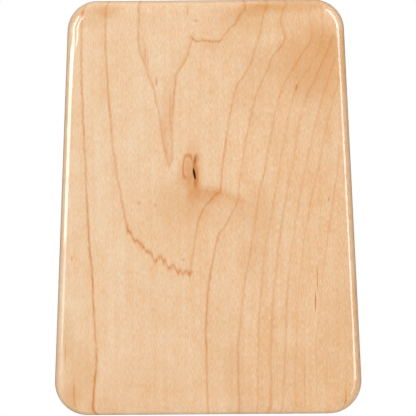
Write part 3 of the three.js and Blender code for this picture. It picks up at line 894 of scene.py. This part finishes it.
def make_board(settings):
    """One tapered plank with round corners and rounded-over edges."""
    low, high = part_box("body_board")
    bm = bmesh.new()
    extrude(bm, board_plan(bm, settings, low.z, 0), (0, 0, high.z - low.z))
    ease_sharp_edges(bm, settings.edge_radius, EDGE_STEPS)
    bm.faces.ensure_lookup_table()
    caps = sorted(bm.faces, key=lambda face: face.calc_area())[-2:]
    bmesh.ops.inset_individual(bm, faces=caps, thickness=FLAT_MARGIN, use_even_offset=True)
    new_piece(bm, "maple_board", "maple", settings, BOARD_BODY, ["body_board"])


def bridge_section(settings, low, high):
    """Corners of the block's section: (Y, Z, radius of the round on it)."""
    ridge = settings.ridge_radius
    groove = settings.groove_radius
    cove = settings.cove_radius
    ridge_front = SADDLE_Y + settings.clamp_span - ridge
    ridge_rear = SADDLE_Y + settings.clamp_span + ridge
    land_front = SADDLE_Y - settings.land
    land_rear = SADDLE_Y + settings.land
    groove_front = SADDLE_Y - groove
    groove_rear = SADDLE_Y + groove
    edge = low.z + settings.edge_height
    valley = low.z + settings.valley_height
    land = low.z + settings.land_height
    return [
        (low.y, low.z, 0), (high.y, low.z, 0), (high.y, edge, 0),
        (ridge_rear, edge, cove), (ridge_rear, high.z, ridge), (ridge_front, high.z, ridge),
        (ridge_front, valley, settings.valley_cove), (land_rear, valley, settings.valley_cove),
        (land_rear, land, 0), (groove_rear, land, 0), (groove_rear, land - groove, groove),
        (groove_front, land - groove, groove), (groove_front, land, 0), (land_front, land, 0),
        (land_front, edge, cove), (low.y, edge, 0),
    ]


def make_bridge(settings):
    """A moulded hardwood block: a grooved land, a valley and a round ridge, with round corners."""
    low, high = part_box("bridge_block")
    bm = bmesh.new()
    section = bridge_section(settings, low, high)
    corners = flat_face(bm, [(low.x, y, z) for y, z, _ in section])
    for corner, (_, _, radius) in zip(corners, section):
        if radius:
            round_off(bm, [corner], radius * NEARLY_ALL, FINE_STEPS, "VERTICES")
    extrude(bm, bm.faces[:][0], (high.x - low.x, 0, 0))
    round_plan_corners(bm, low, high, settings.corner_radius)
    ease_sharp_edges(bm, settings.edge, EASED_WOOD_STEPS)
    new_piece(bm, "bridge_moulding", "bridge_wood", settings, BOARD_BODY, ["bridge_block"])


def round_plan_corners(bm, low, high, radius, cuts=6):
    """Cuts the four upright corners of a block round, plane by plane."""
    for x, turn_x in ((low.x + radius, -1), (high.x - radius, 1)):
        for y, turn_y in ((low.y + radius, -1), (high.y - radius, 1)):
            for step in range(1, cuts):
                angle = math.pi / 2 * step / cuts
                normal = Vector((turn_x * math.cos(angle), turn_y * math.sin(angle), 0))
                place = Vector((x, y, low.z)) + normal * radius
                parts = cut(bm, everything(bm), place, normal, clear_outer=True)
                rim = [part for part in parts if isinstance(part, bmesh.types.BMEdge)]
                bmesh.ops.holes_fill(bm, edges=rim)


def make_rod(settings):
    """A round bar with eased ends."""
    low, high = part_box("saddle_rod")
    middle = (low + high) / 2
    radius = (high.z - low.z) / 2
    bm = bmesh.new()
    lay_across = Matrix.Translation(middle) @ Matrix.Rotation(math.pi / 2, 4, "Y")
    bmesh.ops.create_cone(
        bm, cap_ends=True, segments=ROUND_SIDES, radius1=radius, radius2=radius,
        depth=high.x - low.x, matrix=lay_across,
    )
    ease_sharp_edges(bm, settings.edge, EASED_STEPS)
    new_piece(bm, "nickel_saddle_rod", "plated_steel", settings, BOARD_BODY, ["saddle_rod"])


def make_bar(settings):
    """A bar that is flat on top and round below."""
    low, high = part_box("pressure_bar")
    middle = (low + high) / 2
    width = high.y - low.y
    bm = bmesh.new()
    lay = Matrix.Translation(middle) @ Matrix.Diagonal((*(high - low), 1))
    bmesh.ops.create_cube(bm, size=1, matrix=lay)
    under = [edge for edge in bm.edges if all(vert.co.z < middle.z for vert in edge.verts)]
    long_edges = [edge for edge in under if edge.calc_length() > 2 * width]
    round_off(bm, long_edges, width / 2 * NEARLY_ALL, BAR_STEPS, "EDGES")
    bmesh.ops.remove_doubles(bm, verts=bm.verts, dist=SAME_PLACE)
    ease_sharp_edges(bm, settings.edge, EASED_STEPS)
    new_piece(bm, "nickel_pressure_bar", "plated_steel", settings, BOARD_BODY, ["pressure_bar"])


def make_screw(settings, node, name):
    """A pan-head screw turned about its axis, with a cross sunk in its head."""
    low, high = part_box(node)
    middle = (low + high) / 2
    shank = settings.screw_diameter / 2
    head = (high.x - low.x) / 2
    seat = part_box("pressure_bar")[1].z
    rim = seat + settings.head_rim
    bm = bmesh.new()
    profile = [(0, low.z), (shank, low.z + settings.screw_point), (shank, seat), (head, seat)]
    profile += [(head * out, rim + (high.z - rim) * up) for out, up in HEAD_CROWN]
    verts = [bm.verts.new((middle.x + radius, middle.y, z)) for radius, z in profile]
    for first, second in zip(verts, verts[1:]):
        bm.edges.new((first, second))
    bmesh.ops.spin(
        bm, geom=everything(bm), cent=middle, axis=(0, 0, 1), angle=2 * math.pi,
        steps=ROUND_SIDES, use_merge=True,
    )
    bmesh.ops.remove_doubles(bm, verts=bm.verts, dist=SAME_PLACE)
    sink_cross(bm, settings, middle, rim)
    new_piece(bm, name, "plated_steel", settings, BOARD_BODY, [node], smooth_angle=35)


def sink_cross(bm, settings, middle, rim):
    """Cuts the lines of a cross into a screw's head and sinks it."""
    half = settings.cross_width / 2
    reach = settings.cross_reach
    for axis in (Vector((1, 0, 0)), Vector((0, 1, 0))):
        for offset in (-reach, -half, half, reach):
            top = [face for face in bm.faces if face.calc_center_median().z > rim]
            edges = {edge for face in top for edge in face.edges}
            verts = {vert for face in top for vert in face.verts}
            cut(bm, [*verts, *edges, *top], middle + axis * offset, axis)
    cross = []
    for face in bm.faces:
        spot = face.calc_center_median()
        arms = sorted((abs(spot.x - middle.x), abs(spot.y - middle.y)))
        if spot.z > rim and arms[0] < half and arms[1] < reach:
            cross.append(face)
    sunk = bmesh.ops.extrude_face_region(bm, geom=cross)["geom"]
    floor = shift(bm, sunk, (0, 0, -settings.cross_depth))
    bmesh.ops.delete(bm, geom=[face for face in cross if face.is_valid], context="FACES_ONLY")
    shrink = Matrix.Diagonal((CROSS_TAPER, CROSS_TAPER, 1, 1))
    bmesh.ops.transform(bm, matrix=shrink, space=Matrix.Translation(-middle), verts=floor)


def tine_height(settings, back, free):
    """Height of a tine's middle line over its level at the supports, behind the saddle rod.

    Between its supports it is bowed down in the middle, and beyond them it runs on straight.
    """
    span = bpy.context.scene.kalimba.bridge.clamp_span
    share = min(back, span - back) / span
    bow = 3 * share - 4 * share ** 3 if share > 0 else 3 * share
    curl = max(0, settings.curl_length - free - back)
    return curl ** 2 / (2 * settings.curl_radius) - settings.press_depth * bow


def tine_strip(bm, settings, free, tail):
    """A flat strip with a flared playing end, with the saddle rod at Y = 0."""
    shank = settings.shank_width / 2
    tip = settings.tip_width / 2
    flared = settings.tip_length - free
    unflared = flared + settings.flare_length
    half = settings.thickness / 2
    side = [(shank, tail), (shank, unflared), (tip, flared), (tip, -free)]
    outline = side + [(-x, y) for x, y in reversed(side)]
    corners = flat_face(bm, [(x, y, -half) for x, y in outline])
    flare_round = settings.flare_length * FLARE_ROUND
    round_off(bm, corners[1:3] + corners[5:7], flare_round, FLARE_STEPS, "VERTICES")
    round_off(bm, corners[3:5], settings.tip_corner, FINE_STEPS, "VERTICES")
    extrude(bm, bm.faces[:][0], (0, 0, settings.thickness))
    ease_sharp_edges(bm, settings.edge, EASED_STEPS)


def bend_tine(bm, settings, free, level):
    """Cuts a flat strip into short lengths and bends it to its side view."""
    span = bpy.context.scene.kalimba.bridge.clamp_span
    stations = [span * step / BEND_STEPS for step in range(BEND_STEPS + 1)]
    stations += [settings.curl_length * step / BEND_STEPS - free for step in range(1, BEND_STEPS + 1)]
    for station in stations:
        cut(bm, everything(bm), (0, station, 0), (0, 1, 0))
    reach = settings.thickness * SLOPE_REACH
    for vert in bm.verts:
        back, lift = vert.co.y, vert.co.z
        rise = tine_height(settings, back + reach, free) - tine_height(settings, back - reach, free)
        slope = math.atan2(rise, 2 * reach)
        vert.co.y = back - lift * math.sin(slope)
        vert.co.z = level + tine_height(settings, back, free) + lift * math.cos(slope)


def make_tine(settings, body, node):
    """One spring-steel tine, as long as its note asks."""
    low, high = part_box(node)
    free = SADDLE_Y - low.y
    rod_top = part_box("saddle_rod")[1].z
    level = rod_top + settings.rod_gap + settings.thickness / 2
    bm = bmesh.new()
    tine_strip(bm, settings, free, high.y - SADDLE_Y)
    bend_tine(bm, settings, free, level)
    bmesh.ops.translate(bm, verts=bm.verts, vec=((low.x + high.x) / 2, SADDLE_Y, 0))
    new_piece(bm, f"steel_{node}", "tine_steel", settings, body, [node])


def add_lamp(name, place, aim, size, brightness, diffuse=True, gloss=True):
    """A soft rectangular lamp; brightness is how bright its face looks."""
    light = bpy.data.lights.new(name, "AREA")
    light.shape = "RECTANGLE"
    light.size, light.size_y = size
    light.energy = math.pi * size[0] * size[1] * brightness
    lamp = bpy.data.objects.new(name, light)
    lamp.location = place
    lamp.rotation_euler = (Vector(aim) - Vector(place)).to_track_quat("-Z", "Y").to_euler()
    lamp.visible_camera = False
    lamp.visible_diffuse = diffuse
    lamp.visible_glossy = gloss
    bpy.context.scene.collection.objects.link(lamp)


def make_lamps(settings):
    """Strip lights that only gloss shows, for the back's edges, and soft lamps for both faces."""
    brightness = {"left": settings.left_gloss, "right": settings.right_gloss}
    for side, lights in STRIP_LIGHTS.items():
        for name, place, aim, size, share in lights:
            add_lamp(f"{side}_{name}", place, aim, size, brightness[side] * share, diffuse=False)
    for name, place, size, level, gloss in SOFT_LAMPS:
        add_lamp(name, place, (0, 0, 0), size, level, gloss=gloss)


def stage_piece(bm, name, material):
    """A piece of the studio, which at first only the camera sees."""
    piece = add_mesh(bm, name, material)
    piece.visible_diffuse = False
    piece.visible_glossy = False
    piece.visible_transmission = False
    piece.visible_shadow = False
    return piece


def level_disc(radius, height):
    """A flat disc round the middle."""
    bm = bmesh.new()
    bmesh.ops.create_circle(bm, cap_ends=True, segments=STAGE_SIDES, radius=radius)
    bmesh.ops.translate(bm, verts=bm.verts, vec=(0, 0, height))
    return bm


def make_gloss_card(name, bm):
    """A dark card that only gloss shows."""
    material, wiring, surface = bare_material(name)
    wiring.feed(surface, wiring.add("ShaderNodeEmission", (1, 1, 1), CARD_BRIGHTNESS).outputs[0])
    card = stage_piece(bm, name, material)
    card.visible_camera = False
    card.visible_glossy = True


def make_cards(board):
    """One card far below, to show the wood clearly, one close under the back and one round the walls.

    The last two keep the strip lights to the back's edges.
    """
    make_gloss_card("dark_ground", level_disc(*GROUND_CARD))
    under = bmesh.new()
    board_plan(under, board, *UNDER_CARD)
    make_gloss_card("under_card", under)
    wall = bmesh.new()
    face = board_plan(wall, board, *WALL_CARD)
    grown = bmesh.ops.extrude_edge_only(wall, edges=face.edges[:])["geom"]
    shift(wall, grown, (0, 0, WALL_CARD_RISE))
    bmesh.ops.delete(wall, geom=[face], context="FACES_ONLY")
    make_gloss_card("wall_card", wall)


def make_world(settings):
    """Even white surroundings, at the ambient level for lighting and plain white where they are seen."""
    world = bpy.data.worlds.new("studio")
    world.use_nodes = True
    wiring = Wiring(world.node_tree)
    background = world.node_tree.nodes["Background"]
    path = wiring.add("ShaderNodeLightPath").outputs
    seen = wiring.total([path["Is Camera Ray"], path["Is Glossy Ray"], path["Is Transmission Ray"]])
    background.inputs["Color"].default_value = (1, 1, 1, 1)
    wiring.feed(background.inputs["Strength"], wiring.ramp(seen, 0, 1, settings.ambient, 1, "LINEAR"))
    bpy.context.scene.world = world


def floor_finish(settings):
    """A pale floor that fades into the white far off, and is clear from below."""
    material, wiring, surface = bare_material("pale floor")
    place = wiring.millimetres()
    away = wiring.add("ShaderNodeVectorMath", place, operation="LENGTH").outputs["Value"]
    shade = tuple(part * FLOOR_SHADE for part in settings.floor_colour)
    colour = wiring.mix(wiring.noise(place, *FLOOR_SPECKLE), shade, settings.floor_colour)
    matt = wiring.add("ShaderNodeBsdfDiffuse", colour).outputs[0]
    clear = wiring.add("ShaderNodeBsdfTransparent").outputs[0]
    behind = wiring.add("ShaderNodeNewGeometry").outputs["Backfacing"]
    gone = wiring.math("MAXIMUM", behind, wiring.ramp(away, *FLOOR_FADE))
    wiring.feed(surface, wiring.add("ShaderNodeMixShader", gone, matt, clear).outputs[0])
    return material


def make_floor(settings):
    """A flat floor under the back face, which only the camera sees."""
    stage_piece(level_disc(FLOOR_RADIUS, CAD_BOX[0].z - FLOOR_GAP), "floor", floor_finish(settings))


def make_camera(settings):
    """The photograph's view, square on to the back with the narrow end up."""
    low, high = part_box("body_board")
    edge_radius = bpy.context.scene.kalimba.board.edge_radius
    pixel = (high.y - low.y) / BOARD_PIXELS
    distance = settings.lens / settings.sensor * pixel * PHOTO_PIXELS
    off_right = (BOARD_CENTRE[0] - PHOTO_PIXELS / 2) * pixel
    off_down = (BOARD_CENTRE[1] - PHOTO_PIXELS / 2) * pixel
    camera_data = bpy.data.cameras.new("camera")
    camera_data.lens = settings.lens
    camera_data.sensor_width = settings.sensor
    camera = bpy.data.objects.new("camera", camera_data)
    camera.location = (off_right, off_down, low.z + edge_radius - distance)
    camera.rotation_euler = (0, math.pi, BOARD_ROLL)
    bpy.context.scene.collection.objects.link(camera)
    bpy.context.scene.camera = camera


class KALIMBA_OT_board(bpy.types.Operator):
    """Builds the maple board"""

    bl_idname = "kalimba.board"
    bl_label = "Maple board"

    def execute(self, context):
        make_board(context.scene.kalimba.board)
        return {"FINISHED"}


class KALIMBA_OT_bridge(bpy.types.Operator):
    """Builds the moulded bridge block"""

    bl_idname = "kalimba.bridge"
    bl_label = "Bridge block"

    def execute(self, context):
        make_bridge(context.scene.kalimba.bridge)
        return {"FINISHED"}


class KALIMBA_OT_clamp(bpy.types.Operator):
    """Builds the saddle rod and the pressure bar"""

    bl_idname = "kalimba.clamp"
    bl_label = "Saddle rod and pressure bar"

    def execute(self, context):
        make_rod(context.scene.kalimba.clamp)
        make_bar(context.scene.kalimba.clamp)
        return {"FINISHED"}


class KALIMBA_OT_screws(bpy.types.Operator):
    """Builds the screws of the pressure bar"""

    bl_idname = "kalimba.screws"
    bl_label = "Clamp screws"

    def execute(self, context):
        for number, node in enumerate(SCREW_NODES, 1):
            make_screw(context.scene.kalimba.clamp, node, f"nickel_screw_{number}")
        return {"FINISHED"}


class KALIMBA_OT_tines(bpy.types.Operator):
    """Builds the spring-steel tines"""

    bl_idname = "kalimba.tines"
    bl_label = "Tines"

    def execute(self, context):
        for body, node in TINE_NODES.items():
            make_tine(context.scene.kalimba.tines, body, node)
        return {"FINISHED"}


class KALIMBA_OT_stage(bpy.types.Operator):
    """Sets up the camera, the lamps and the floor"""

    bl_idname = "kalimba.stage"
    bl_label = "Studio"

    def execute(self, context):
        settings = context.scene.kalimba.stage
        make_camera(settings)
        make_lamps(settings)
        make_world(settings)
        make_floor(settings)
        make_cards(context.scene.kalimba.board)
        context.scene.view_settings.view_transform = "Standard"
        return {"FINISHED"}


OPERATORS = (
    KALIMBA_OT_board,
    KALIMBA_OT_bridge,
    KALIMBA_OT_clamp,
    KALIMBA_OT_screws,
    KALIMBA_OT_tines,
    KALIMBA_OT_stage,
)


class KALIMBA_PT_panel(bpy.types.Panel):
    """Lists the steps that build the kalimba"""

    bl_idname = "KALIMBA_PT_panel"
    bl_label = "Kalimba"
    bl_space_type = "VIEW_3D"
    bl_region_type = "UI"
    bl_category = "Kalimba"

    def draw(self, context):
        for operator in OPERATORS:
            self.layout.operator(operator.bl_idname)


CLASSES = (
    KALIMBA_PG_board,
    KALIMBA_PG_bridge,
    KALIMBA_PG_clamp,
    KALIMBA_PG_tines,
    KALIMBA_PG_stage,
    KALIMBA_PG_settings,
    *OPERATORS,
    KALIMBA_PT_panel,
)


def register():
    for item in CLASSES:
        bpy.utils.register_class(item)
    bpy.types.Scene.kalimba = PointerProperty(type=KALIMBA_PG_settings)


def unregister():
    del bpy.types.Scene.kalimba
    for item in reversed(CLASSES):
        bpy.utils.unregister_class(item)


def main():
    register()
    bpy.ops.kalimba.board()
    bpy.ops.kalimba.bridge()
    bpy.ops.kalimba.clamp()
    bpy.ops.kalimba.screws()
    bpy.ops.kalimba.tines()
    bpy.ops.kalimba.stage()


if __name__ == "__main__":
    main()
